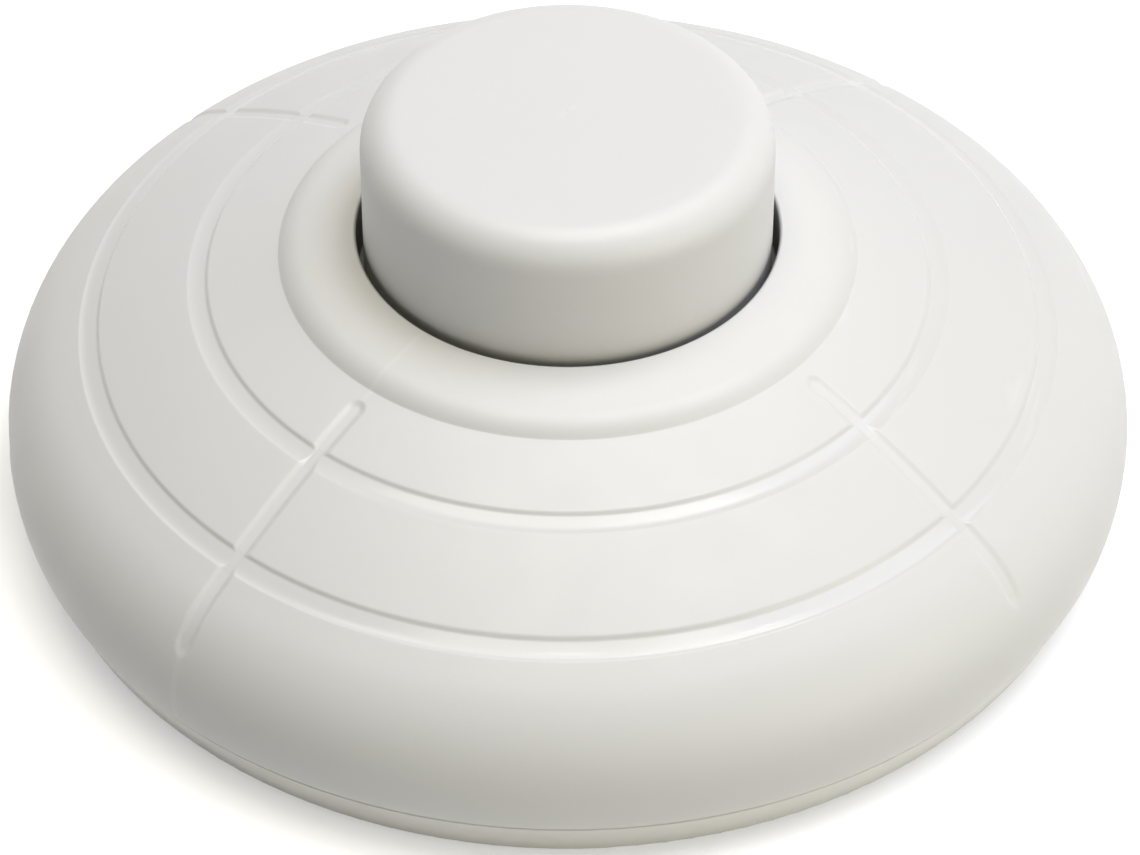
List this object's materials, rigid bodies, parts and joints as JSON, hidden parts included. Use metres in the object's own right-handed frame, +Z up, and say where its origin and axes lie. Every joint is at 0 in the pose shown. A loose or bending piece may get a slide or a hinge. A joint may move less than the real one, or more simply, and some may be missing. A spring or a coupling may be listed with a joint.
{
  "type": "foot switch",
  "caption": "Round in-line foot switch with a domed, grooved housing, a central push button and cord inlets on opposite sides.",
  "frame": {"origin": "centre of the underside, on the floor", "axes": "+Z up along the button's axis, X along the cord from inlet to inlet, -Y towards the viewer"},
  "size_m": [0.0618, 0.062, 0.024],
  "materials": {
    "cover_plastic": "satin",
    "base_plastic": "satin",
    "button_plastic": "satin",
    "nylon": "natural",
    "wheel_plastic": "moulded",
    "brass": "machined",
    "bronze": "rolled",
    "screw_steel": "zinc plated",
    "shaft_steel": "drawn",
    "spring_steel": "drawn"
  },
  "bodies": {
    "housing": {"base_plate": "base_plastic", "top_cover": "cover_plastic", "cover_screws": "screw_steel", "return_spring": "spring_steel", "rotor_bracket": "nylon", "bracket_screws": "screw_steel", "rotor_shaft": "shaft_steel", "detent_spring": "spring_steel", "contact_blade_in": "bronze", "contact_blade_out": "bronze", "live_in_terminal": "brass", "live_out_terminal": "brass", "neutral_link": "brass", "terminal_screws": "screw_steel", "cord_clamp_in": "base_plastic", "cord_clamp_out": "base_plastic", "clamp_screws": "screw_steel"},
    "button": {"push_button": "button_plastic", "plunger": "nylon"},
    "rotor": {"star_wheel": "wheel_plastic", "contact_bridge": "brass"}
  },
  "joints": [
    {"name": "button_press", "type": "slide", "parent": "housing", "child": "button", "axis": [0, 0, -1], "range_m": [0, 0.004], "stiffness_N_per_m": 2500, "deforming": ["return_spring"]},
    {"name": "star_turn", "type": "hinge", "parent": "housing", "child": "rotor", "pos_m": [0.0026, 0, 0.0054], "axis": [0, 1, 0], "range_deg": [0, 90]}
  ],
  "couplings": [
    {"joint": "star_turn", "follows": "button_press", "rad_per_m": 392.7}
  ]
}
